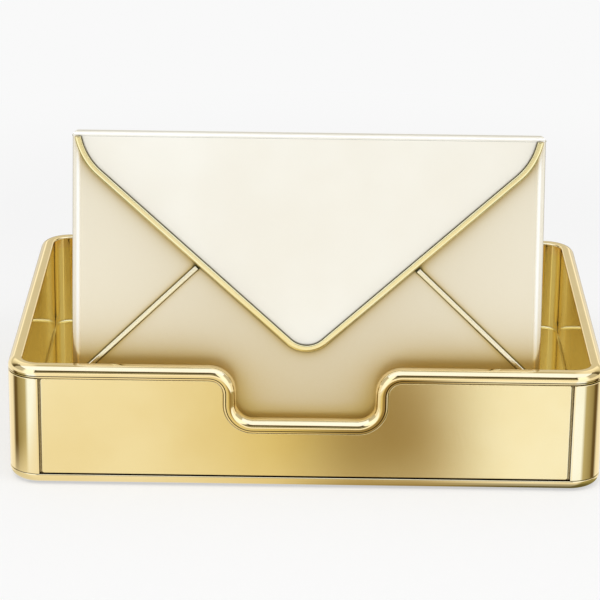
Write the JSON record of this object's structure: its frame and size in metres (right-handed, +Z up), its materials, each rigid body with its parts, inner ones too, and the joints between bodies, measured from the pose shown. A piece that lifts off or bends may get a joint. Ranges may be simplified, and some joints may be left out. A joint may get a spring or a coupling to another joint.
{
  "type": "desk mail tray with envelope",
  "caption": "Open rounded desk tray with a finger notch in its front wall, holding an upright envelope that lifts out and whose flap opens.",
  "frame": {"origin": "centre of the tray's footprint, on the desk surface under its feet", "axes": "+X to the right along the tray's long side, +Y from the notched front wall towards the rear wall, +Z up"},
  "size_m": [0.29, 0.204, 0.1679],
  "materials": {
    "polished_gold": "polished, gold-toned",
    "satin_gold": "fine satin, gold-toned",
    "pearl_lacquer": "pearl lacquer, satin",
    "pale_gold": "satin, pale gold",
    "steel": "zinc plated",
    "foot_rubber": "matte",
    "core_wood": "raw board"
  },
  "bodies": {
    "tray": {"plinth_rail": "polished_gold", "inner_pan": "polished_gold", "rear_right_post": "polished_gold", "rear_left_post": "polished_gold", "front_left_post": "polished_gold", "front_right_post": "polished_gold", "rim_cap": "polished_gold", "front_guide": "polished_gold", "rear_guide": "polished_gold", "front_panel": "satin_gold", "rear_panel": "satin_gold", "left_panel": "satin_gold", "right_panel": "satin_gold", "base_plate": "satin_gold", "tie_screws": "steel", "base_screws": "steel", "standoffs": "steel", "guide_screws": "steel", "guide_nuts": "steel", "front_left_foot": "foot_rubber", "front_right_foot": "foot_rubber", "rear_right_foot": "foot_rubber", "rear_left_foot": "foot_rubber"},
    "envelope": {"back_plate": "pearl_lacquer", "core_board": "core_wood", "left_edge_bar": "pearl_lacquer", "right_edge_bar": "pearl_lacquer", "bottom_edge_bar": "pearl_lacquer", "left_side_flap": "pearl_lacquer", "right_side_flap": "pearl_lacquer", "bottom_flap": "pearl_lacquer", "left_seam_trim": "pale_gold", "right_seam_trim": "pale_gold", "hinge_leaf_back": "pale_gold", "hinge_pin": "steel"},
    "flap": {"top_flap": "pearl_lacquer", "flap_trim": "polished_gold", "hinge_leaf_flap": "pale_gold"}
  },
  "joints": [
    {"name": "envelope_lift", "type": "slide", "parent": "tray", "child": "envelope", "axis": [0, 0.2079, 0.9781], "range_m": [0, 0.08]},
    {"name": "flap_hinge", "type": "hinge", "parent": "envelope", "child": "flap", "pos_m": [0, -0.05037, 0.16309], "axis": [-1, 0, 0], "range_deg": [0, 175]}
  ]
}
